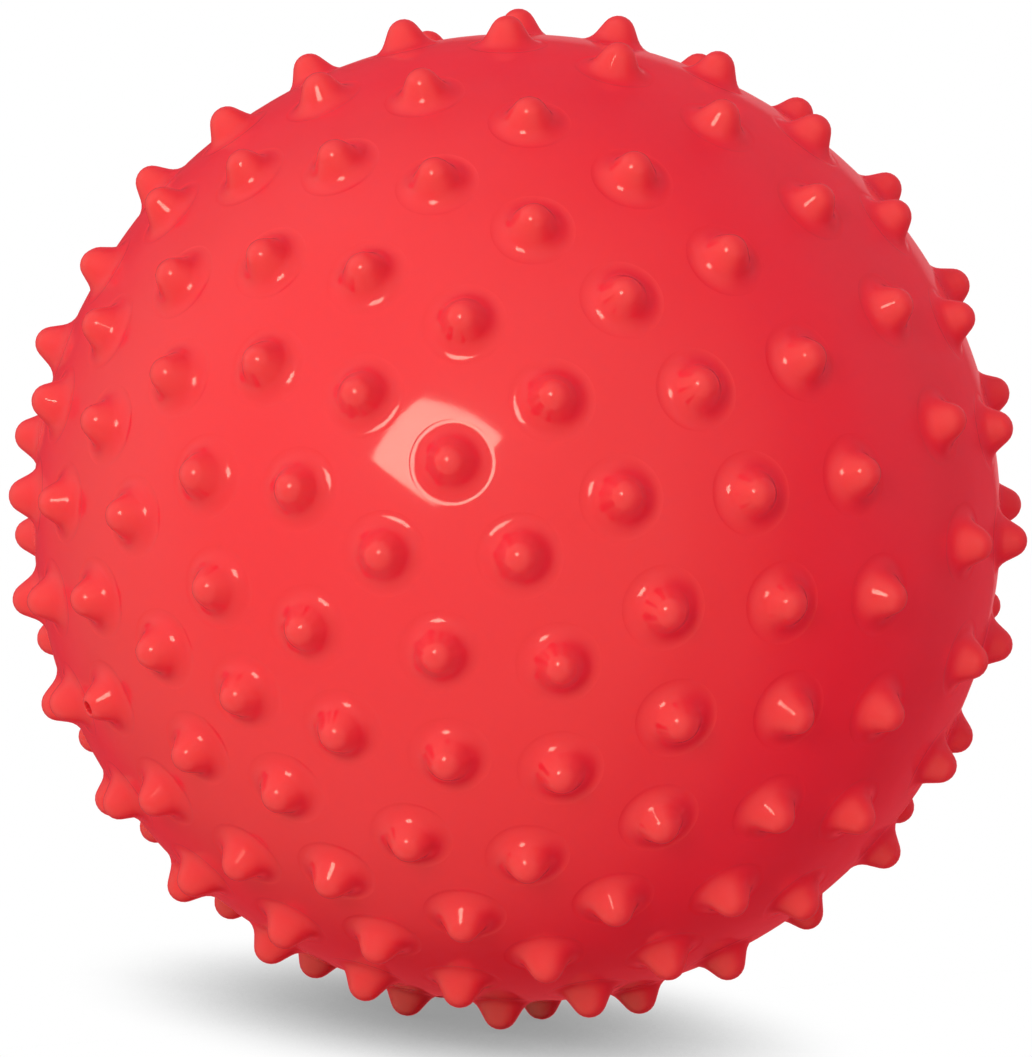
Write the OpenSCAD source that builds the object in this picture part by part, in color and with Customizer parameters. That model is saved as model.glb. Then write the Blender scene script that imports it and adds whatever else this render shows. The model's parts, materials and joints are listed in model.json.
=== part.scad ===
// Sensory ball: a hollow moulded ball with rounded nubs all over and a needle valve behind one of them.
// Millimetres. The ball stands on three of its nubs on the plane z = 0, with its centre above the origin.

/* [Ball] */
// Diameter of the skin between the nubs
skin_d = 166; // [150:1:220]
// Thickness of the moulded wall
wall_t = 1.8; // [1.5:0.1:3]

/* [Nubs] */
// Height of a nub above the skin
nub_h = 6; // [5:0.5:7]
// Radius of the rounded tip of a nub
nub_tip_r = 3; // [2.5:0.1:3.4]
// Angle between the flank of a nub and its own axis
nub_flank_angle = 30; // [22:1:34]
// Radius of the hollow sweep that leads from the flank into the skin
nub_sweep_r = 2.5; // [1.5:0.1:5.5]
// Depth to which the foot of a nub is rooted in the wall
nub_root = 1; // [0.6:0.1:1.2]
// How much the three nubs that carry the ball are pressed flat by its weight
rest_give = 0.1; // [0.05:0.05:0.3]

/* [Needle valve] */
// Diameter of the pump needle that the valve takes
needle_d = 2; // [1.6:0.1:2.4]
// Gap all round between the needle and its hole in the nub
needle_gap = 0.1; // [0.05:0.05:0.2]
// Diameter of the rubber plug
plug_d = 7; // [5:0.5:9]
// Length of the rubber plug
plug_l = 9; // [6:0.5:12]
// Diameter of the flange at the outer end of the plug
plug_flange_d = 10; // [9:0.5:12]
// Thickness of that flange
plug_flange_t = 1.5; // [1:0.1:2]
// Gap all round between the plug and its cup
plug_gap = 0.05; // [0.02:0.01:0.1]
// Thickness of the side wall and the floor of the cup
cup_wall = 1.5; // [1:0.1:2.5]
// Gap all round between the cup and the boss that is moulded over it
cup_gap = 0.05; // [0.02:0.01:0.1]
// Thickness of the boss round the cup
boss_wall = 2; // [1.5:0.1:3]
// How much the boss thickens the wall over the valve
boss_roof_t = 1.2; // [0.6:0.1:2.5]
// Thickness of the lip that folds over the inner end of the cup
boss_lip_t = 1.2; // [0.8:0.1:2]
// Width of that lip across the cup
boss_lip_w = 1.6; // [1:0.1:2]
// Depth of the dimple that leads the needle into the plug
plug_dimple_depth = 0.8; // [0.4:0.1:1.2]

/* [Hidden] */
ball_fn = 128;
nub_fn = 32;
valve_fn = 48;
// Overrun of every cut
cut_over = 0.5;
// How far the sweep dips under the skin, so that it ends on a crisp line
sweep_dip = 0.05;

// The nubs stand on rings round the pole of the mould, in two halves with the parting line between rings 6 and 7.
// For each ring: how many nubs it has, its angle from the pole, and the place of its first nub round the pole.
ring_counts = [1, 6, 12, 17, 21, 25, 25, 25, 25, 21, 17, 12, 6, 1];
ring_angles = [0, 12.1, 24.4, 36.6, 49.2, 63.1, 76.9, 94.8, 110.4, 126.8, 140.1, 153.4, 166.7, 180];
ring_starts = [0, 34.6, 4.2, 6.5, 9, 3, 13.6, 13.3, 7.6, 8.9, 6.5, 4.2, 34.6, 0];

// Nubs by ring and place: the three that the ball rests on, and the one with the valve
rest_nubs = [[5, 5], [6, 4], [6, 5]];
valve_nub = [2, 0];
// Turn about the upright line that brings the photographed side to the front, -Y
front_turn = 160.6;

skin_r = skin_d / 2;
inner_r = skin_r - wall_t;
tip_centre = skin_r + nub_h - nub_tip_r;
tip_top = tip_centre + nub_tip_r;

// Direction of a nub from the centre of the ball, with the pole of the mould along +Z
function nub_turn(ring, place) = ring_starts[ring] + place * 360 / ring_counts[ring];
function nub_dir(ring, place) = [
    sin(ring_angles[ring]) * cos(nub_turn(ring, place)),
    sin(ring_angles[ring]) * sin(nub_turn(ring, place)),
    cos(ring_angles[ring])
];

// The plane through the three resting nubs, its outward direction and its height from the centre
rest_dirs = [for (nub = rest_nubs) nub_dir(nub[0], nub[1])];
rest_cross = cross(rest_dirs[1] - rest_dirs[0], rest_dirs[2] - rest_dirs[0]);
rest_side = rest_cross * rest_dirs[0] > 0 ? 1 : -1;
rest_normal = rest_side * rest_cross / norm(rest_cross);
rest_axis = cross(rest_normal, [0, 0, -1]);
rest_tilt = acos(-rest_normal[2]);
centre_z = tip_centre * (rest_normal * rest_dirs[0]) + nub_tip_r - rest_give;

// The flank leaves the tip where it is tangent to it
flank_top = [nub_tip_r * cos(nub_flank_angle), tip_centre + nub_tip_r * sin(nub_flank_angle)];
flank_dir = [sin(nub_flank_angle), -cos(nub_flank_angle)];
flank_out = [cos(nub_flank_angle), sin(nub_flank_angle)];
// The sweep touches the flank and dips under the skin: its centre lies sweep_reach from the ball's centre
sweep_reach = skin_r + nub_sweep_r - sweep_dip;
sweep_base = flank_top + nub_sweep_r * flank_out;
sweep_half = sweep_base * flank_dir;
flank_l = -sweep_half - sqrt(pow(sweep_half, 2) - sweep_base * sweep_base + pow(sweep_reach, 2));
sweep_centre = sweep_base + flank_l * flank_dir;
flank_end = flank_top + flank_l * flank_dir;
sweep_end = sweep_centre * (skin_r - sweep_dip) / sweep_reach;
root_z = sweep_end[1] - nub_root;

// The valve, along the axis of its nub
needle_hole_r = needle_d / 2 + needle_gap;
flange_r = plug_flange_d / 2;
plug_r = plug_d / 2;
cup_r = flange_r + plug_gap + cup_wall;
cup_l = plug_l + cup_wall;
pocket_r = cup_r + cup_gap;
boss_r = pocket_r + boss_wall;
valve_top = inner_r - boss_roof_t;
boss_top = sqrt(pow(inner_r, 2) - pow(boss_r, 2)) + wall_t / 2;
boss_end = valve_top - cup_l - boss_lip_t;

// Puts the children where the ball stands: the moulding tipped onto its three nubs, then turned to the front
module stand_on_nubs() {
    translate([0, 0, centre_z])
        rotate([0, 0, front_turn])
            rotate(a = rest_tilt, v = rest_axis)
                children();
}

// Puts the children, drawn along +Z from the centre of the ball, onto the axis of one nub
module on_nub(ring, place) {
    rotate([0, ring_angles[ring], nub_turn(ring, place)])
        children();
}

// One nub on +Z: rounded tip, straight flank and hollow sweep, with its foot in the wall
module nub() {
    rotate_extrude($fn = nub_fn)
        union() {
            difference() {
                polygon([
                    [0, root_z],
                    [sweep_end[0], root_z],
                    sweep_end,
                    flank_end,
                    flank_top,
                    [0, flank_top[1]]
                ]);
                translate(sweep_centre)
                    circle(r = nub_sweep_r, $fn = valve_fn);
            }
            intersection() {
                translate([0, tip_centre])
                    circle(r = nub_tip_r, $fn = valve_fn);
                translate([0, tip_centre])
                    square([nub_tip_r, nub_tip_r]);
            }
        }
}

// Skin and nubs as one solid body
module ball_body() {
    sphere(r = skin_r, $fn = ball_fn);
    for (ring = [0:len(ring_counts) - 1])
        for (place = [0:ring_counts[ring] - 1])
            on_nub(ring, place)
                nub();
}

// A round bar on +Z between two heights
module bar(r, low, high) {
    translate([0, 0, low])
        cylinder(r = r, h = high - low, $fn = valve_fn);
}

// The moulding: skin, nubs and the boss round the valve cup, with the needle hole in the valve nub
module moulding() {
    difference() {
        union() {
            difference() {
                ball_body();
                sphere(r = inner_r, $fn = ball_fn);
            }
            on_nub(valve_nub[0], valve_nub[1])
                bar(boss_r, boss_end, boss_top);
        }
        on_nub(valve_nub[0], valve_nub[1]) {
            bar(pocket_r, boss_end + boss_lip_t, valve_top);
            bar(cup_r - boss_lip_w, boss_end - cut_over, boss_end + boss_lip_t + cut_over);
            bar(needle_hole_r, valve_top - cut_over, tip_top + cut_over);
        }
    }
}

// The moulding as it stands, with the tips of its three lowest nubs flat on the floor
module ball_shell() {
    color([0.88, 0.2, 0.22])
        difference() {
            stand_on_nubs()
                moulding();
            bar(skin_r, -nub_h, 0);
        }
}

// The cup: open towards the nub, stepped for the flange of the plug, with a needle hole in its floor
module valve_cup() {
    color([0.93, 0.9, 0.84])
        stand_on_nubs()
            on_nub(valve_nub[0], valve_nub[1])
                difference() {
                    bar(cup_r, valve_top - cup_l, valve_top);
                    bar(flange_r + plug_gap, valve_top - plug_flange_t, valve_top + cut_over);
                    bar(plug_r + plug_gap, valve_top - plug_l, valve_top);
                    bar(needle_hole_r, valve_top - cup_l - cut_over, valve_top - plug_l + cut_over);
                }
}

// The self-sealing plug: a stem with a flange and a dimple that leads the needle in
module valve_plug() {
    color([0.25, 0.23, 0.22])
        stand_on_nubs()
            on_nub(valve_nub[0], valve_nub[1])
                difference() {
                    union() {
                        bar(plug_r, valve_top - plug_l, valve_top);
                        bar(flange_r, valve_top - plug_flange_t, valve_top);
                    }
                    translate([0, 0, valve_top - plug_dimple_depth])
                        cylinder(r1 = 0, r2 = needle_hole_r, h = plug_dimple_depth, $fn = valve_fn);
                }
}

ball_shell();
valve_cup();
valve_plug();
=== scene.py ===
"""A sensory ball: hollow, soft and red, with rounded nubs all over, standing on a white studio floor.

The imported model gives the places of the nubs, the valve and the floor. This script turns the shell as a smooth
moulding round them, dresses every piece, and sets the studio: floor, surround, softbox and camera.
"""

import json
import logging
import math
from dataclasses import dataclass, field
from enum import Enum

import bpy
import numpy as np
from mathutils import Matrix, Vector
from mathutils.geometry import delaunay_2d_cdt


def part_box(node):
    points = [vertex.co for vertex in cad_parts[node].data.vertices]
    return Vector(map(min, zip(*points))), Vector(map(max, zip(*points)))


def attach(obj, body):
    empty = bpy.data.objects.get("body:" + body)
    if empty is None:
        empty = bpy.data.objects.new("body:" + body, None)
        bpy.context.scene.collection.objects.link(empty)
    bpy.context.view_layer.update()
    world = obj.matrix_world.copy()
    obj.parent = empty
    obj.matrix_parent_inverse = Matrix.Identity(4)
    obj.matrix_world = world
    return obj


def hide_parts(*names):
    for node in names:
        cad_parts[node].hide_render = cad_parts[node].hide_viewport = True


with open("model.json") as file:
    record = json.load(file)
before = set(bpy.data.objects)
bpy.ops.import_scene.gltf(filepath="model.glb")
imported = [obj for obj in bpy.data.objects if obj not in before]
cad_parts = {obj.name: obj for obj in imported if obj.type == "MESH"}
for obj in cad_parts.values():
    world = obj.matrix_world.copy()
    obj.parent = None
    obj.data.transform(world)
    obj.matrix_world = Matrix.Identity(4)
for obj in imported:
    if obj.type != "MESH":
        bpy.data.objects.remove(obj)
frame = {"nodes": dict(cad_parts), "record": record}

log = logging.getLogger("sensory_ball")

MM = 0.001
PHOTO_W_PX = 1032
PHOTO_H_PX = 1057
# A direction with more than this share along one axis is too near that axis to be crossed with it
TOO_NEAR = 0.9


class Node(Enum):
    """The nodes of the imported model."""

    SHELL = "ball_shell"
    CUP = "valve_cup"
    PLUG = "valve_plug"


class Slot(Enum):
    """The record's material slots."""

    SHELL = "shell"
    CUP = "cup"
    PLUG = "plug"


BODY = "root"


def linear(hex_colour: str) -> tuple[float, float, float, float]:
    """Turns an sRGB hex colour into linear RGBA.

    Args:
        hex_colour: The colour as #RRGGBB.

    Returns:
        Red, green, blue and alpha, from 0 to 1.
    """
    channels = [int(hex_colour[i:i + 2], 16) / 255 for i in (1, 3, 5)]
    toned = [c / 12.92 if c <= 0.04045 else ((c + 0.055) / 1.055) ** 2.4 for c in channels]
    return (toned[0], toned[1], toned[2], 1.0)


def per_metre(size_mm: float) -> float:
    """The texture scale at which one feature of a pattern measures size_mm."""
    return 1 / (size_mm * MM)


def add_node(tree: bpy.types.NodeTree, kind: str, settings: dict | None = None,
             links: dict | None = None) -> bpy.types.Node:
    """Adds a shader node with its settings and its links.

    Args:
        tree: The node tree that takes it.
        kind: The node's type, without ShaderNode in front.
        settings: Values by the name of a property, or by the name or number of an input.
        links: Output sockets by the name or number of the input that each one feeds.

    Returns:
        The new node.
    """
    node = tree.nodes.new("ShaderNode" + kind)
    for name, value in (settings or {}).items():
        if isinstance(name, int) or name in node.inputs:
            node.inputs[name].default_value = value
        else:
            setattr(node, name, value)
    for name, source in (links or {}).items():
        tree.links.new(source, node.inputs[name])
    return node


def new_material(name: str) -> tuple[bpy.types.Material, bpy.types.NodeTree]:
    """Makes a material with an empty node tree."""
    material = bpy.data.materials.new(name)
    material.use_nodes = True
    material.node_tree.nodes.clear()
    return material, material.node_tree


def unit(vectors: np.ndarray) -> np.ndarray:
    """Scales each row to length 1."""
    return vectors / np.linalg.norm(vectors, axis=-1, keepdims=True)


def eased(share: np.ndarray) -> np.ndarray:
    """Bends shares from 0 to 1 so that they begin and end level."""
    return share * share * (3 - 2 * share)


def fit_sphere(points: np.ndarray) -> tuple[np.ndarray, float]:
    """Finds the sphere that lies closest to some points.

    Args:
        points: One point a row.

    Returns:
        The centre and the radius.
    """
    rows = np.column_stack([2 * points, np.ones(len(points))])
    answer = np.linalg.lstsq(rows, (points ** 2).sum(1), rcond=None)[0]
    centre = answer[:3]
    return centre, float(math.sqrt(answer[3] + centre @ centre))


class Outline:
    """The half outline of a turned shape, drawn with its material on the left of the path.

    Each stretch between two points keeps the direction that it faces at both of its ends, so that round
    stretches shade smoothly and corners stay crisp.
    """

    def __init__(self, r: float, z: float) -> None:
        """Starts the outline at a radius r from the axis and a height z."""
        self.points: list[tuple[float, float]] = [(r, z)]
        self.facings: list[tuple[tuple[float, float], tuple[float, float]]] = []

    def line(self, r: float, z: float, steps: int = 1) -> "Outline":
        """Draws a straight stretch to (r, z).

        Args:
            r: The radius at its end.
            z: The height at its end.
            steps: How many parts it is drawn in.

        Returns:
            The outline itself.
        """
        r0, z0 = self.points[-1]
        length = math.hypot(r - r0, z - z0)
        facing = ((z - z0) / length, (r0 - r) / length)
        for i in range(1, steps + 1):
            share = i / steps
            self.points.append((r0 + (r - r0) * share, z0 + (z - z0) * share))
            self.facings.append((facing, facing))
        return self

    def arc(self, centre: tuple[float, float], start: float, end: float, steps: int,
            hollow: bool = False) -> "Outline":
        """Draws a round stretch from the last point, which lies on it.

        Args:
            centre: The centre of the arc.
            start: The angle of its first point from the r axis, in radians.
            end: The angle of its last point.
            steps: How many parts it is drawn in.
            hollow: Whether the surface faces the centre.

        Returns:
            The outline itself.
        """
        radius = math.hypot(self.points[-1][0] - centre[0], self.points[-1][1] - centre[1])
        side = -1 if hollow else 1
        angles = np.linspace(start, end, steps + 1)
        ways = [(math.cos(a), math.sin(a)) for a in angles]
        for near, far in zip(ways, ways[1:]):
            self.points.append((centre[0] + radius * far[0], centre[1] + radius * far[1]))
            self.facings.append(((side * near[0], side * near[1]), (side * far[0], side * far[1])))
        return self


@dataclass(frozen=True)
class NubForm:
    """The turned form of a nub, in millimetres: rounded tip, straight flank and hollow sweep into the skin."""

    height: float = 4.8
    tip_radius: float = 3.0
    flank_angle: float = math.radians(30)
    sweep_radius: float = 3.4
    groove: float = 0.05
    sweep_steps: int = 5
    flank_steps: int = 1
    tip_steps: int = 4
    rim_radius: float = 0.25
    rim_steps: int = 3

    def tip_centre(self, skin_r: float) -> float:
        """The distance of the tip's centre from the centre of the ball."""
        return skin_r + self.height - self.tip_radius

    def start(self, skin_r: float) -> tuple[Outline, float]:
        """Draws the sweep and the flank, from the foot to where the rounded tip begins.

        Args:
            skin_r: The radius of the skin.

        Returns:
            The outline, and the angle of its last point on the tip.
        """
        lean = np.array([math.sin(self.flank_angle), -math.cos(self.flank_angle)])
        out = np.array([math.cos(self.flank_angle), math.sin(self.flank_angle)])
        flank_top = np.array([0.0, self.tip_centre(skin_r)]) + self.tip_radius * out
        reach = skin_r + self.sweep_radius - self.groove
        base = flank_top + self.sweep_radius * out
        half = float(base @ lean)
        flank_length = -half - math.sqrt(half ** 2 - float(base @ base) + reach ** 2)
        centre = base + flank_length * lean
        towards_foot = math.atan2(-centre[1], -centre[0])
        # The groove lets the sweep cross the skin a little before its lowest point
        crossing = (reach ** 2 + self.sweep_radius ** 2 - skin_r ** 2) / (2 * reach * self.sweep_radius)
        foot_angle = towards_foot + math.acos(crossing)
        flank_foot_angle = math.atan2(-out[1], -out[0])
        foot = centre + self.sweep_radius * np.array([math.cos(foot_angle), math.sin(foot_angle)])
        outline = Outline(float(foot[0]), float(foot[1]))
        outline.arc((float(centre[0]), float(centre[1])), foot_angle, flank_foot_angle, self.sweep_steps,
                    hollow=True)
        outline.line(float(flank_top[0]), float(flank_top[1]), self.flank_steps)
        return outline, self.flank_angle

    def closed(self, skin_r: float) -> Outline:
        """The outline of a plain nub, from its foot to its apex."""
        outline, angle = self.start(skin_r)
        return outline.arc((0.0, self.tip_centre(skin_r)), angle, math.pi / 2, self.tip_steps)

    def pierced(self, skin_r: float, bore_r: float) -> Outline:
        """The outline of a nub with a bore through its tip, from its foot to the rounded rim of the bore.

        Args:
            skin_r: The radius of the skin.
            bore_r: The radius of the bore.

        Returns:
            The outline, which ends on the wall of the bore.
        """
        outline, angle = self.start(skin_r)
        inner = self.tip_radius - self.rim_radius
        rim_r = bore_r + self.rim_radius
        tip_end = math.acos(rim_r / inner)
        rim_centre = (rim_r, self.tip_centre(skin_r) + inner * math.sin(tip_end))
        outline.arc((0.0, self.tip_centre(skin_r)), angle, tip_end, self.tip_steps)
        return outline.arc(rim_centre, tip_end, math.pi, self.rim_steps)


@dataclass(frozen=True)
class ValveForm:
    """The inside of the moulding at the needle valve, in millimetres: bore, pocket, folded lip and boss."""

    bore_radius: float = 1.1
    seat: float = 80.0
    pocket_radius: float = 6.6
    pocket_length: float = 10.5
    lip_thickness: float = 1.2
    lip_radius: float = 4.95
    boss_radius: float = 8.6
    wall_steps: int = 72

    def line_inside(self, outline: Outline, inner_r: float) -> Outline:
        """Carries the outline of the pierced nub on through the valve and round the inside of the wall.

        Args:
            outline: The outline of the pierced nub.
            inner_r: The radius of the inside of the wall.

        Returns:
            The whole outline, which ends on the axis at the far side of the ball.
        """
        top = self.seat
        lip_top = top - self.pocket_length
        end = lip_top - self.lip_thickness
        wall = math.sqrt(inner_r ** 2 - self.boss_radius ** 2)
        outline.line(self.bore_radius, top)
        outline.line(self.pocket_radius, top)
        outline.line(self.pocket_radius, lip_top)
        outline.line(self.lip_radius, lip_top)
        outline.line(self.lip_radius, end)
        outline.line(self.boss_radius, end)
        outline.line(self.boss_radius, wall)
        start = math.atan2(wall, self.boss_radius)
        return outline.arc((0.0, 0.0), start, -math.pi / 2, self.wall_steps, hollow=True)


@dataclass(frozen=True)
class SoftWaves:
    """The unevenness of a soft moulding, in millimetres: slow waves, and none where it carries the weight."""

    height: float = 0.05
    shortest: float = 16.0
    longest: float = 40.0
    count: int = 10
    seed: int = 11
    still_below: float = 8.0
    full_above: float = 40.0
    probe: float = 0.02

    def move(self, points: np.ndarray) -> np.ndarray:
        """Moves points of the moulding along with its waves.

        Args:
            points: One point a row, in millimetres, with the floor at height 0.

        Returns:
            The moved points.
        """
        chance = np.random.default_rng(self.seed)
        ways = unit(chance.normal(size=(self.count, 3)))
        pushes = unit(chance.normal(size=(self.count, 3)))
        lengths = chance.uniform(self.shortest, self.longest, self.count)
        phases = chance.uniform(0, 2 * math.pi, self.count)
        moved = np.zeros_like(points)
        for way, push, length, phase in zip(ways, pushes, lengths, phases):
            moved += np.sin(points @ way * (2 * math.pi / length) + phase)[:, None] * push
        share = np.clip((points[:, 2] - self.still_below) / (self.full_above - self.still_below), 0, 1)
        return points + moved * self.height * eased(share)[:, None]

    def turn(self, points: np.ndarray, facings: np.ndarray) -> np.ndarray:
        """Turns surface directions along with the waves.

        Args:
            points: One point a row, before it is moved.
            facings: The surface direction at each point.

        Returns:
            The turned directions.
        """
        side = np.where(np.abs(facings[:, :1]) < TOO_NEAR, np.array([[1.0, 0, 0]]), np.array([[0, 1.0, 0]]))
        first = unit(np.cross(facings, side))
        second = np.cross(facings, first)
        here = self.move(points)
        along = self.move(points + first * self.probe) - here
        across = self.move(points + second * self.probe) - here
        return unit(np.cross(along, across))


@dataclass
class Moulding:
    """A mesh in the making: points with their share of a nub's height, faces with a facing at each corner."""

    points: list[np.ndarray] = field(default_factory=list)
    shares: list[np.ndarray] = field(default_factory=list)
    corners: list[np.ndarray] = field(default_factory=list)
    facings: list[np.ndarray] = field(default_factory=list)
    count: int = 0

    def add_points(self, points: np.ndarray, shares: np.ndarray) -> int:
        """Adds points and gives the number of the first."""
        first = self.count
        self.points.append(points)
        self.shares.append(shares)
        self.count += len(points)
        return first

    def add_faces(self, corners: np.ndarray, facings: np.ndarray) -> None:
        """Adds faces of one size, with a facing for each corner."""
        self.corners.append(corners)
        self.facings.append(facings)

    def make(self, name: str, waves: SoftWaves) -> bpy.types.Object:
        """Builds the Blender object.

        Args:
            name: The name of the piece.
            waves: The unevenness that the whole moulding gets.

        Returns:
            The new object, in metres.
        """
        points = np.vstack(self.points)
        corner_list = np.concatenate([c.ravel() for c in self.corners])
        facing_list = np.vstack([f.reshape(-1, 3) for f in self.facings])
        turned = waves.turn(points[corner_list], facing_list)
        faces = [row for c in self.corners for row in c.tolist()]
        mesh = bpy.data.meshes.new(name)
        mesh.from_pydata((waves.move(points) * MM).tolist(), [], faces)
        mesh.polygons.foreach_set("use_smooth", [True] * len(mesh.polygons))
        share = mesh.attributes.new("nub_share", "FLOAT", "POINT")
        share.data.foreach_set("value", np.concatenate(self.shares).astype(np.float32))
        mesh.normals_split_custom_set(turned.tolist())
        mesh.update()
        made = bpy.data.objects.new(name, mesh)
        bpy.context.scene.collection.objects.link(made)
        return made


@dataclass
class BallPlaces:
    """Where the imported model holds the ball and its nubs, in millimetres."""

    tip_radius: float
    nub_height: float
    centre: np.ndarray = field(init=False)
    skin_r: float = field(init=False)
    axes: np.ndarray = field(init=False)
    valve: int = field(init=False)

    def __post_init__(self) -> None:
        """Reads the places from the vertices of the tips, which all lie on small spheres."""
        shell = frame["nodes"][Node.SHELL.value]
        points = np.array([v.co for v in shell.data.vertices]) / MM
        low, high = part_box(Node.SHELL.value)
        guess = np.array((low + high) / 2) / MM
        far = np.linalg.norm(points - guess, axis=1)
        reach = far.max() - self.tip_radius
        left = points[far > reach + self.tip_radius / 2]
        centres = []
        while len(left):
            near = np.linalg.norm(left - left[0], axis=1) < 2 * self.tip_radius
            centres.append(fit_sphere(left[near])[0])
            left = left[~near]
        tips = np.array(centres)
        self.centre, tip_reach = fit_sphere(tips)
        self.skin_r = tip_reach + self.tip_radius - self.nub_height
        self.axes = unit(tips - self.centre)
        port = next(m for m in frame["record"]["mounts"] if m["name"] == "needle_port")
        self.valve = int(np.argmax(self.axes @ np.array(port["axis"])))


@dataclass
class BallShell:
    """The moulding, in millimetres: skin, nubs and the wall's inside with the boss, as one closed skin."""

    nub: NubForm = field(default_factory=NubForm)
    valve: ValveForm = field(default_factory=ValveForm)
    waves: SoftWaves = field(default_factory=SoftWaves)
    wall: float = 1.8
    nub_sides: int = 36
    valve_sides: int = 72
    skin_spacing: float = 2.7
    lean: float = 0.22
    stretch: float = 0.02
    settled_below: float = 8.0
    seed: int = 5
    # Any direction does that isn't along a nub: it only sets how the opened skin lies on its plane
    aslant: tuple[float, float, float] = (0.3, 0.5, 0.8)
    same_point: float = 1e-9

    def build(self) -> bpy.types.Object:
        """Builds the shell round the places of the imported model.

        Returns:
            The shell's object.
        """
        places = BallPlaces(self.nub.tip_radius, self.nub.height)
        log.info("ball centre %s mm, skin radius %.2f mm, %d nubs", places.centre.round(2), places.skin_r,
                 len(places.axes))
        moulding = Moulding()
        chance = np.random.default_rng(self.seed)
        feet, owners, foot_numbers = [], [], []
        for number, axis in enumerate(places.axes):
            leaning = chance.normal(size=2) * self.lean / 2
            stretched = 1 + chance.normal() * self.stretch
            tip_z = places.centre[2] + axis[2] * self.nub.tip_centre(places.skin_r) - self.nub.tip_radius
            if number == places.valve or tip_z < self.settled_below:
                leaning, stretched = np.zeros(2), 1.0
            pierced = number == places.valve
            sides = self.valve_sides if pierced else self.nub_sides
            outline = self.outline(places.skin_r, pierced)
            first, foot = self.turn_outline(moulding, outline, places, axis, sides, leaning, stretched)
            feet.append(foot)
            owners += [number] * sides
            foot_numbers += list(range(first, first + sides))
        self.stretch_skin(moulding, places, np.vstack(feet), np.array(owners), np.array(foot_numbers))
        return moulding.make("shell_moulding", self.waves)

    def outline(self, skin_r: float, pierced: bool) -> Outline:
        """The outline of a plain nub, or of the one with the valve and all that lies inside it."""
        if not pierced:
            return self.nub.closed(skin_r)
        outline = self.nub.pierced(skin_r, self.valve.bore_radius)
        return self.valve.line_inside(outline, skin_r - self.wall)

    def turn_outline(self, moulding: Moulding, outline: Outline, places: BallPlaces, axis: np.ndarray,
                     sides: int, leaning: np.ndarray, stretched: float) -> tuple[int, np.ndarray]:
        """Turns an outline round the axis of a nub and adds it to the moulding.

        Args:
            moulding: What it is added to.
            outline: The outline, which ends on the axis.
            places: The places of the ball.
            axis: The direction of the nub.
            sides: The number of steps round it.
            leaning: How far its tip stands aside, in millimetres.
            stretched: Its height as a share of the usual one.

        Returns:
            The number of the first point of the foot, and the points of the foot.
        """
        across = unit(np.cross(axis, [0.0, 0.0, 1.0] if abs(axis[2]) < TOO_NEAR else [1.0, 0.0, 0.0]))
        up = np.cross(axis, across)
        basis = np.array([across, up, axis])
        angles = np.arange(sides) * 2 * math.pi / sides
        way = np.column_stack([np.cos(angles), np.sin(angles)])
        rings = np.array(outline.points[:-1])
        local = np.zeros((len(rings), sides, 3))
        local[:, :, :2] = rings[:, None, :1] * way[None]
        local[:, :, 2] = rings[:, None, 1]
        apex = np.array([[0.0, 0.0, outline.points[-1][1]]])
        flat = np.vstack([local.reshape(-1, 3), apex])
        height = (flat[:, 2] - places.skin_r) / self.nub.height
        share = eased(np.clip(height, 0, 1))
        flat[:, :2] += share[:, None] * leaning
        flat[:, 2] += np.maximum(height, 0) * self.nub.height * (stretched - 1)
        placed = places.centre + flat @ basis
        # The floor presses the tips flat that the ball stands on
        placed[:, 2] = np.maximum(placed[:, 2], 0)
        first = moulding.add_points(placed, share)
        last = first + len(flat) - 1
        bands = len(rings) - 1
        near = np.arange(sides)
        far = (near + 1) % sides
        for band in range(bands):
            base = first + band * sides
            corners = np.column_stack([base + near, base + far, base + sides + far, base + sides + near])
            pair = outline.facings[band]
            ends = [self.facing(pair[0], way[near]), self.facing(pair[0], way[far]),
                    self.facing(pair[1], way[far]), self.facing(pair[1], way[near])]
            moulding.add_faces(corners, np.stack(ends, 1) @ basis)
        base = first + bands * sides
        corners = np.column_stack([base + near, base + far, np.full(sides, last)])
        pair = outline.facings[-1]
        ends = [self.facing(pair[0], way[near]), self.facing(pair[0], way[far]),
                self.facing(pair[1], way[near])]
        moulding.add_faces(corners, np.stack(ends, 1) @ basis)
        return first, placed[:sides]

    @staticmethod
    def facing(facing: tuple[float, float], way: np.ndarray) -> np.ndarray:
        """The direction that a turned outline faces, at each way round the axis."""
        return np.column_stack([way * facing[0], np.full(len(way), facing[1])])

    def stretch_skin(self, moulding: Moulding, places: BallPlaces, feet: np.ndarray, owners: np.ndarray,
                     foot_numbers: np.ndarray) -> None:
        """Fills the sphere between the feet of the nubs.

        The sphere is opened onto a plane from the middle of one nub, where circles stay circles, and the plane
        is cut into triangles.

        Args:
            moulding: What the skin is added to.
            places: The places of the ball.
            feet: The points of all feet.
            owners: The nub of each of these points.
            foot_numbers: The number of each of these points in the moulding.
        """
        foot_ways = unit(feet - places.centre)
        foot_reach = np.arccos(np.clip((foot_ways * places.axes[owners]).sum(1), -1, 1)).max()
        spacing = self.skin_spacing / places.skin_r
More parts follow.
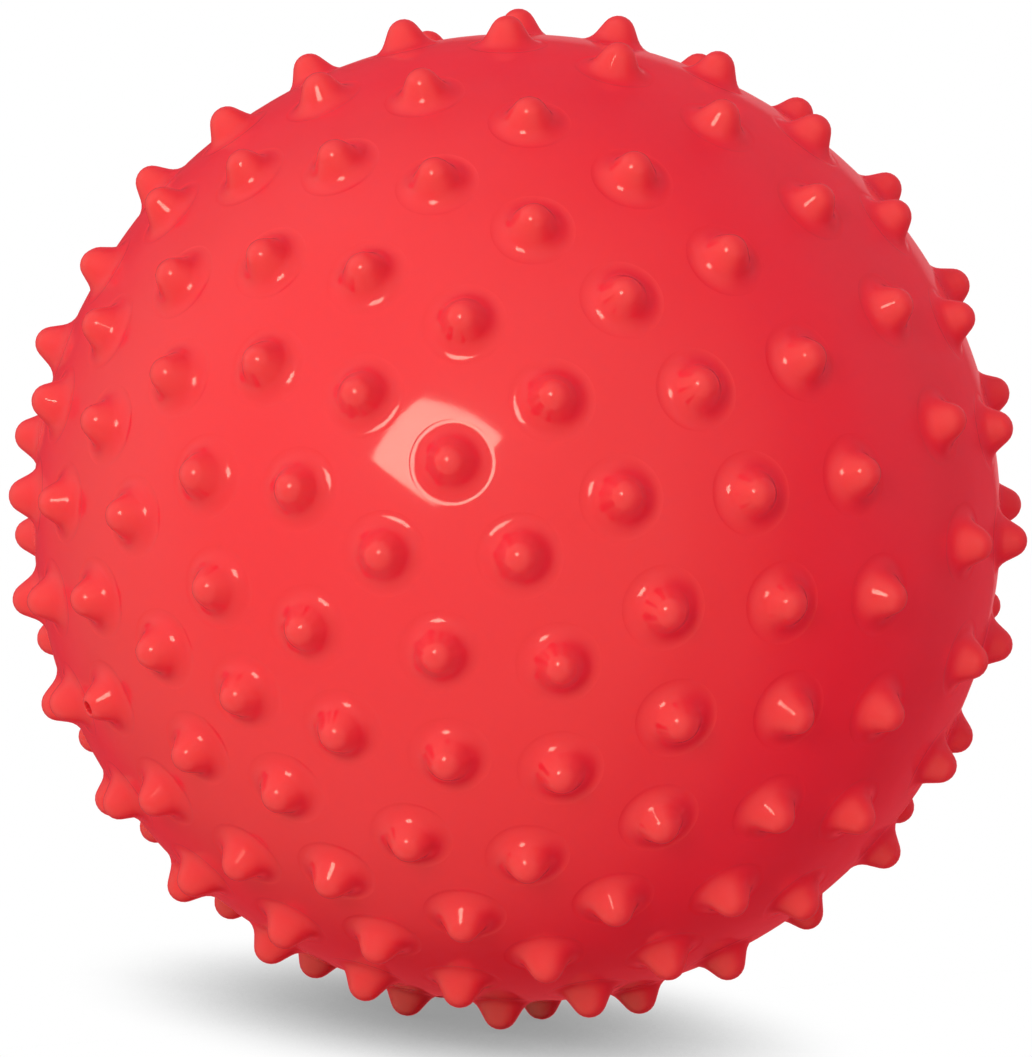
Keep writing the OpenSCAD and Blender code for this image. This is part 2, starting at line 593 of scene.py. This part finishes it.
        # Points on a golden spiral, each with the area of two triangles whose sides are the spacing
        total = int(4 * math.pi / (spacing ** 2 * math.sqrt(3) / 2))
        step = np.arange(total) + 0.5
        level = 1 - 2 * step / total
        golden = 3 - math.sqrt(5)
        turn = step * math.pi * golden
        round_r = np.sqrt(1 - level ** 2)
        fill = np.column_stack([round_r * np.cos(turn), round_r * np.sin(turn), level])
        nearest = np.arccos(np.clip((fill @ places.axes.T).max(1), -1, 1))
        fill = fill[nearest > foot_reach + spacing / 2]
        first = moulding.add_points(places.centre + fill * places.skin_r, np.zeros(len(fill)))
        numbers = np.concatenate([foot_numbers, np.arange(first, first + len(fill))])
        ways = np.vstack([foot_ways, fill])
        owner = np.concatenate([owners, np.full(len(fill), -1)])
        pole = places.axes[0]
        across = unit(np.cross(pole, self.aslant))
        up = np.cross(pole, across)
        spread = 1 - ways @ pole
        flat = np.column_stack([ways @ across / spread, ways @ up / spread])
        foot_edges = self.rim_edges(owners)
        answer = delaunay_2d_cdt([Vector(p) for p in flat], foot_edges, [], 0, self.same_point)
        origin = [ids[0] for ids in answer[3]]
        triangles = np.array([[origin[i] for i in face] for face in answer[2]])
        # A triangle with all its corners on one foot lies under that nub
        own = owner[triangles]
        outside = ~((own[:, 0] >= 0) & (own[:, 0] == own[:, 1]) & (own[:, 1] == own[:, 2]))
        triangles = triangles[outside]
        a, b, c = (ways[triangles[:, i]] for i in range(3))
        inward = (np.cross(b - a, c - a) * a).sum(1) < 0
        triangles[inward] = triangles[inward][:, ::-1]
        moulding.add_faces(numbers[triangles], ways[triangles])

    @staticmethod
    def rim_edges(owners: np.ndarray) -> list[tuple[int, int]]:
        """The edges of the feet, as pairs of point numbers."""
        edges = []
        for owner in np.unique(owners):
            own = np.flatnonzero(owners == owner)
            edges += list(zip(own.tolist(), np.roll(own, -1).tolist()))
        return edges


@dataclass(frozen=True)
class GlossyPvc:
    """Soft PVC, coloured in the mass and moulded against polished steel.

    It gives the eye a deep clear red, small sharp reflections from its smooth skin, and soft edges to its
    shadows, because light wanders inside it. Its nubs are a paler red: partly the solid moulding's own tone,
    partly a painted sheen for the pale look of their lit tips.
    """

    skin: str = "#FC2C40"
    skin_deep: str = "#FA273C"
    # Paler red for the nubs: partly the solid moulding's own tone, partly a painted sheen on their tips
    nub: str = "#F43A44"
    cloud_mm: float = 34.0
    peel_mm: float = 1.6
    peel_depth_mm: float = 0.004
    smear_mm: float = 9.0
    roughness_low: float = 0.38
    roughness_high: float = 0.46
    ior: float = 1.53
    # The gloss is the coat's: the body under it has next to none of its own
    body_gloss: float = 0.1
    coat_roughness: float = 0.06
    coat_ior: float = 1.5
    # How far light wanders inside, in metres, and the share of that for red, green and blue
    wander: float = 0.0006
    wander_shares: tuple[float, float, float] = (1.0, 0.5, 0.4)

    def make(self) -> bpy.types.Material:
        """Makes the material."""
        material, tree = new_material("glossy_soft_pvc_moulded")
        place = add_node(tree, "TexCoord")
        cloud = add_node(tree, "TexNoise", {
            "Scale": per_metre(self.cloud_mm), "Detail": 3.0, "Roughness": 0.45},
            {"Vector": place.outputs["Object"]})
        clouded = add_node(tree, "MapRange", {"From Min": 0.35, "From Max": 0.65},
                           {"Value": cloud.outputs["Fac"]})
        skin = add_node(tree, "Mix", {"data_type": "RGBA", 6: linear(self.skin), 7: linear(self.skin_deep)},
                        {0: clouded.outputs["Result"]})
        # Towards the nub tips the red turns paler: partly the moulding's own tone, partly painted sheen
        share = add_node(tree, "Attribute", {"attribute_name": "nub_share"})
        colour = add_node(tree, "Mix", {"data_type": "RGBA", 7: linear(self.nub)},
                          {0: share.outputs["Fac"], 6: skin.outputs[2]})
        smear = add_node(tree, "TexNoise", {"Scale": per_metre(self.smear_mm), "Detail": 4.0},
                         {"Vector": place.outputs["Object"]})
        roughness = add_node(tree, "MapRange", {"From Min": 0.3, "From Max": 0.7, "To Min": self.roughness_low,
                                                "To Max": self.roughness_high}, {"Value": smear.outputs["Fac"]})
        peel = add_node(tree, "TexNoise", {"Scale": per_metre(self.peel_mm), "Detail": 2.0},
                        {"Vector": place.outputs["Object"]})
        bump = add_node(tree, "Bump", {"Strength": 1.0, "Distance": self.peel_depth_mm * MM},
                        {"Height": peel.outputs["Fac"]})
        shader = add_node(tree, "BsdfPrincipled", {
            "IOR": self.ior,
            "Specular IOR Level": self.body_gloss,
            "Subsurface Weight": 1.0,
            "Subsurface Radius": self.wander_shares,
            "Subsurface Scale": self.wander,
            "Coat Weight": 1.0,
            "Coat Roughness": self.coat_roughness,
            "Coat IOR": self.coat_ior,
        }, {"Base Color": colour.outputs[2], "Roughness": roughness.outputs["Result"],
            "Normal": bump.outputs["Normal"], "Coat Normal": bump.outputs["Normal"]})
        add_node(tree, "OutputMaterial", None, {"Surface": shader.outputs["BSDF"]})
        return material


@dataclass(frozen=True)
class NaturalPvc:
    """Uncoloured PVC, moulded with a plain finish: a milky cream with faint flow marks and a dull shine."""

    light: str = "#EDE5D3"
    dark: str = "#DDD2BB"
    flow_mm: float = 5.0
    # The real grain is finer: it is drawn as coarse as it needs to be to show
    grain_mm: float = 0.5
    grain_depth_mm: float = 0.02
    roughness_low: float = 0.42
    roughness_high: float = 0.55
    ior: float = 1.53

    def make(self) -> bpy.types.Material:
        """Makes the material."""
        material, tree = new_material("natural_pvc_moulded")
        place = add_node(tree, "TexCoord")
        flow = add_node(tree, "TexNoise", {"Scale": per_metre(self.flow_mm), "Detail": 3.0, "Distortion": 1.2},
                        {"Vector": place.outputs["Object"]})
        colour = add_node(tree, "Mix", {"data_type": "RGBA", 6: linear(self.light), 7: linear(self.dark)},
                          {0: flow.outputs["Fac"]})
        grain = add_node(tree, "TexNoise", {"Scale": per_metre(self.grain_mm)},
                         {"Vector": place.outputs["Object"]})
        roughness = add_node(tree, "MapRange", {"To Min": self.roughness_low, "To Max": self.roughness_high},
                             {"Value": grain.outputs["Fac"]})
        bump = add_node(tree, "Bump", {"Strength": 0.5, "Distance": self.grain_depth_mm * MM},
                        {"Height": grain.outputs["Fac"]})
        shader = add_node(tree, "BsdfPrincipled", {"IOR": self.ior}, {
            "Base Color": colour.outputs[2], "Roughness": roughness.outputs["Result"],
            "Normal": bump.outputs["Normal"]})
        add_node(tree, "OutputMaterial", None, {"Surface": shader.outputs["BSDF"]})
        return material


@dataclass(frozen=True)
class MouldedRubber:
    """Soft rubber, moulded and dusted with talc: near black, dull, with a pale bloom in patches."""

    body: str = "#2B2725"
    bloom: str = "#5A544F"
    bloom_mm: float = 2.4
    # The real grain is finer: it is drawn as coarse as it needs to be to show
    grain_mm: float = 0.35
    grain_depth_mm: float = 0.02
    roughness_low: float = 0.6
    roughness_high: float = 0.8
    ior: float = 1.52

    def make(self) -> bpy.types.Material:
        """Makes the material."""
        material, tree = new_material("dusted_rubber_moulded")
        place = add_node(tree, "TexCoord")
        bloom = add_node(tree, "TexNoise", {"Scale": per_metre(self.bloom_mm), "Detail": 5.0},
                         {"Vector": place.outputs["Object"]})
        patches = add_node(tree, "MapRange", {"From Min": 0.45, "From Max": 0.75},
                           {"Value": bloom.outputs["Fac"]})
        colour = add_node(tree, "Mix", {"data_type": "RGBA", 6: linear(self.body), 7: linear(self.bloom)},
                          {0: patches.outputs["Result"]})
        grain = add_node(tree, "TexNoise", {"Scale": per_metre(self.grain_mm)},
                         {"Vector": place.outputs["Object"]})
        roughness = add_node(tree, "MapRange", {"To Min": self.roughness_low, "To Max": self.roughness_high},
                             {"Value": grain.outputs["Fac"]})
        bump = add_node(tree, "Bump", {"Strength": 0.6, "Distance": self.grain_depth_mm * MM},
                        {"Height": grain.outputs["Fac"]})
        shader = add_node(tree, "BsdfPrincipled", {"IOR": self.ior}, {
            "Base Color": colour.outputs[2], "Roughness": roughness.outputs["Result"],
            "Normal": bump.outputs["Normal"]})
        add_node(tree, "OutputMaterial", None, {"Surface": shader.outputs["BSDF"]})
        return material


@dataclass(frozen=True)
class SensoryBall:
    """The ball: the moulded shell, and the cup and plug of its valve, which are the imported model's own."""

    shell: BallShell = field(default_factory=BallShell)
    pvc: GlossyPvc = field(default_factory=GlossyPvc)
    cup: NaturalPvc = field(default_factory=NaturalPvc)
    plug: MouldedRubber = field(default_factory=MouldedRubber)

    def build(self) -> None:
        """Builds the shell, and dresses every piece."""
        shell = self.shell.build()
        shell.data.materials.append(self.pvc.make())
        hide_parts(Node.SHELL.value)
        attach(shell, BODY)
        log.info("%s: %d faces", shell.name, len(shell.data.polygons))
        for node, slot, finish in ((Node.CUP, Slot.CUP, self.cup), (Node.PLUG, Slot.PLUG, self.plug)):
            piece = frame["nodes"][node.value]
            piece.data.materials.clear()
            piece.data.materials.append(finish.make())
            log.info("%s: %s", piece.name, piece.data.materials[0].name)


@dataclass(frozen=True)
class Viewpoint:
    """Where the photograph was taken from: a long lens nearly level with the ball, turned a little."""

    distance: float = 0.8874
    elevation: float = math.radians(4.86)
    azimuth: float = math.radians(-0.245)
    roll: float = math.radians(5.96)
    focal_px: float = 5081.0
    ball_px: tuple[float, float] = (517.3, 516.3)
    sensor: float = 36.0
    clip: tuple[float, float] = (0.05, 50.0)

    def basis(self) -> tuple[Vector, Vector, Vector]:
        """The camera's right, up and backward directions, before its aim is moved off the ball's centre.

        Returns:
            Three unit vectors.
        """
        flat = math.cos(self.elevation)
        back = Vector((math.sin(self.azimuth) * flat, -math.cos(self.azimuth) * flat, math.sin(self.elevation)))
        level = Vector((0, 0, 1)).cross(back).normalized()
        turned = Matrix.Rotation(self.roll, 3, back)
        right = turned @ level
        return right, back.cross(right), back

    def place(self, centre: Vector) -> None:
        """Sets the camera.

        Args:
            centre: The centre of the ball.
        """
        right, up, back = self.basis()
        per_px = self.distance / self.focal_px
        off_right = (PHOTO_W_PX / 2 - self.ball_px[0]) * per_px
        off_up = (self.ball_px[1] - PHOTO_H_PX / 2) * per_px
        data = bpy.data.cameras.new("camera")
        data.sensor_width = self.sensor
        data.lens = self.focal_px * self.sensor / max(PHOTO_W_PX, PHOTO_H_PX)
        data.clip_start, data.clip_end = self.clip
        camera = bpy.data.objects.new("camera", data)
        place = centre + back * self.distance
        aim = (place - (centre + right * off_right + up * off_up)).normalized()
        true_right = up.cross(aim).normalized()
        true_up = aim.cross(true_right)
        camera.matrix_world = Matrix((
            (true_right.x, true_up.x, aim.x, place.x),
            (true_right.y, true_up.y, aim.y, place.y),
            (true_right.z, true_up.z, aim.z, place.z),
            (0, 0, 0, 1),
        ))
        bpy.context.scene.collection.objects.link(camera)
        bpy.context.scene.camera = camera


@dataclass(frozen=True)
class Lamp:
    """A softbox: its direction from the ball, as the camera sees it, its distance, size and radiance."""

    name: str
    towards: tuple[float, float, float]
    distance: float
    width: float
    height: float
    radiance: float
    spin: float = 0.0
    colour: str = "#FFFFFF"

    def hang(self, centre: Vector, basis: tuple[Vector, Vector, Vector]) -> None:
        """Hangs the lamp so that it faces the ball.

        Args:
            centre: The centre of the ball.
            basis: The camera's right, up and backward directions.
        """
        right, up, back = basis
        way = (right * self.towards[0] + up * self.towards[1] + back * self.towards[2]).normalized()
        data = bpy.data.lights.new(self.name, "AREA")
        data.shape = "RECTANGLE"
        data.size, data.size_y = self.width, self.height
        data.energy = self.radiance * math.pi * self.width * self.height
        data.color = linear(self.colour)[:3]
        lamp = bpy.data.objects.new(self.name, data)
        lamp.location = centre + way * self.distance
        turn = way.to_track_quat("Z", "Y")
        lamp.rotation_mode = "QUATERNION"
        lamp.rotation_quaternion = turn @ Matrix.Rotation(self.spin, 3, "Z").to_quaternion()
        bpy.context.scene.collection.objects.link(lamp)


@dataclass(frozen=True)
class Lobe:
    """Light from round one direction of the surround.

    It begins and is full at angles from that direction, which are given by their cosines.
    """

    towards: tuple[float, float, float]
    begins: float
    full: float
    level: float
    outside: float = 0.0
    colour: str = "#FFFFFF"

    def strength(self, tree: bpy.types.NodeTree, way: bpy.types.Node) -> bpy.types.NodeSocket:
        """Works out how strong the light is from the direction of a ray.

        Args:
            tree: The node tree of the world.
            way: The node that tells the direction of a ray.

        Returns:
            The socket that gives the strength.
        """
        along = add_node(tree, "VectorMath", {
            "operation": "DOT_PRODUCT", 1: Vector(self.towards).normalized()}, {0: way.outputs["Generated"]})
        spread = add_node(tree, "MapRange", {
            "interpolation_type": "SMOOTHSTEP", "From Min": self.begins, "From Max": self.full,
            "To Min": self.outside, "To Max": self.level}, {"Value": along.outputs["Value"]})
        return spread.outputs["Result"]

    def background(self, tree: bpy.types.NodeTree, way: bpy.types.Node) -> bpy.types.Node:
        """Makes the background shader that gives this light alone."""
        strength = self.strength(tree, way)
        return add_node(tree, "Background", {"Color": linear(self.colour)}, {"Strength": strength})


@dataclass(frozen=True)
class Studio:
    """The white paper floor, the surround, the softbox and the camera.

    The camera sees the floor and the surround as white. The surround gives the ball soft light from the front
    left and from the right behind. In its gloss the ball mirrors a dark surround with a pale warm glow at the
    front left, a faint white patch straight behind, and its own red all round that patch. The floor isn't
    mirrored.
    """

    floor_size: float = 30.0
    floor_bounce: str = "#E6E6E6"
    shade_samples: int = 24
    shade_reach: float = 0.046
    shade_open: float = 0.62
    shade_deepest: float = 0.3
    front: Lobe = Lobe((-0.72, -0.68, 0.12), -0.3, 0.3, 0.92, outside=0.03)
    behind: Lobe = Lobe((0.55, 0.83, -0.05), 0.1, 0.6, 1.0)
    patch: Lobe = Lobe((0.15, 0.98, 0.1), math.cos(math.radians(16)), math.cos(math.radians(8)), 0.15,
                       outside=0.02)
    glow: Lobe = Lobe((-0.551, -0.829, 0.016), -0.55, 0.7, 0.88, colour="#FFEFC4")
    rim: Lobe = Lobe((0.0, 1.0, 0.0), 0.45, 0.85, 1.0, colour="#CF3039")
    view: Viewpoint = field(default_factory=Viewpoint)
    lamps: tuple[Lamp, ...] = (
        Lamp("key_softbox", (-0.321, 0.265, 0.909), 1.3, 0.4, 0.4, 7.7, math.radians(64), "#FFF5DC"),
    )

    def build(self) -> None:
        """Makes the floor, the surround, the lamps and the camera."""
        low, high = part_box(Node.SHELL.value)
        centre = Vector((0, 0, (low.z + high.z) / 2))
        self.lay_floor()
        self.paint_surround()
        self.view.place(centre)
        for lamp in self.lamps:
            lamp.hang(centre, self.view.basis())
        bpy.context.scene.view_settings.view_transform = "Standard"

    @staticmethod
    def mirror_rays(tree: bpy.types.NodeTree, rays: bpy.types.Node) -> bpy.types.NodeSocket:
        """Tells the rays that gloss and glass send out."""
        either = add_node(tree, "Math", {"operation": "MAXIMUM"},
                          {0: rays.outputs["Is Glossy Ray"], 1: rays.outputs["Is Transmission Ray"]})
        return either.outputs[0]

    def lay_floor(self) -> None:
        """Lays the floor: paper that the camera sees white, with a soft shade where the ball is near.

        In diffuse light it is pale paper, and the rays of the ball's gloss pass through it to the surround.
        """
        half = self.floor_size / 2
        corners = [(-half, -half, 0), (half, -half, 0), (half, half, 0), (-half, half, 0)]
        mesh = bpy.data.meshes.new("floor")
        mesh.from_pydata(corners, [], [(0, 1, 2, 3)])
        floor = bpy.data.objects.new("floor", mesh)
        bpy.context.scene.collection.objects.link(floor)
        material, tree = new_material("white_paper_floor")
        rays = add_node(tree, "LightPath")
        # Painted shadow: the camera sees the paper give off white light, dimmed where occlusion finds the ball
        # near
        near = add_node(tree, "AmbientOcclusion", {"samples": self.shade_samples, "Distance": self.shade_reach})
        shade = add_node(tree, "MapRange", {
            "interpolation_type": "SMOOTHSTEP", "From Max": self.shade_open, "To Min": self.shade_deepest,
            "To Max": 1.0}, {"Value": near.outputs["AO"]})
        seen = add_node(tree, "Emission", None, {"Strength": shade.outputs["Result"]})
        passed = add_node(tree, "BsdfTransparent")
        bounce = add_node(tree, "BsdfDiffuse", {"Color": linear(self.floor_bounce)})
        glossed = add_node(tree, "MixShader", None, {
            0: self.mirror_rays(tree, rays), 1: bounce.outputs[0], 2: passed.outputs[0]})
        mix = add_node(tree, "MixShader", None, {
            0: rays.outputs["Is Camera Ray"], 1: glossed.outputs[0], 2: seen.outputs[0]})
        add_node(tree, "OutputMaterial", None, {"Surface": mix.outputs[0]})
        mesh.materials.append(material)

    def paint_surround(self) -> None:
        """Makes the world: white to the camera, soft light for the ball, and a dark room for its gloss."""
        world = bpy.data.worlds.new("white_surround")
        bpy.context.scene.world = world
        world.use_nodes = True
        tree = world.node_tree
        tree.nodes.clear()
        white = linear("#FFFFFF")
        rays = add_node(tree, "LightPath")
        way = add_node(tree, "TexCoord")
        lit = add_node(tree, "Math", {"operation": "ADD"},
                       {0: self.behind.strength(tree, way), 1: self.front.strength(tree, way)})
        soft = add_node(tree, "Background", {"Color": white}, {"Strength": lit.outputs[0]})
        patch, glow, rim = (lobe.background(tree, way) for lobe in (self.patch, self.glow, self.rim))
        pale = add_node(tree, "AddShader", None, {0: patch.outputs[0], 1: glow.outputs[0]})
        mirrored = add_node(tree, "AddShader", None, {0: pale.outputs[0], 1: rim.outputs[0]})
        seen = add_node(tree, "Background", {"Color": white, "Strength": 1.0})
        glossed = add_node(tree, "MixShader", None, {
            0: self.mirror_rays(tree, rays), 1: soft.outputs[0], 2: mirrored.outputs[0]})
        mix = add_node(tree, "MixShader", None, {
            0: rays.outputs["Is Camera Ray"], 1: glossed.outputs[0], 2: seen.outputs[0]})
        add_node(tree, "OutputWorld", None, {"Surface": mix.outputs[0]})


def main() -> None:
    """Builds the studio and the ball, in that order."""
    logging.basicConfig(level=logging.INFO, format="%(message)s")
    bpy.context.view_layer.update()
    Studio().build()
    SensoryBall().build()


if __name__ == "__main__":
    main()
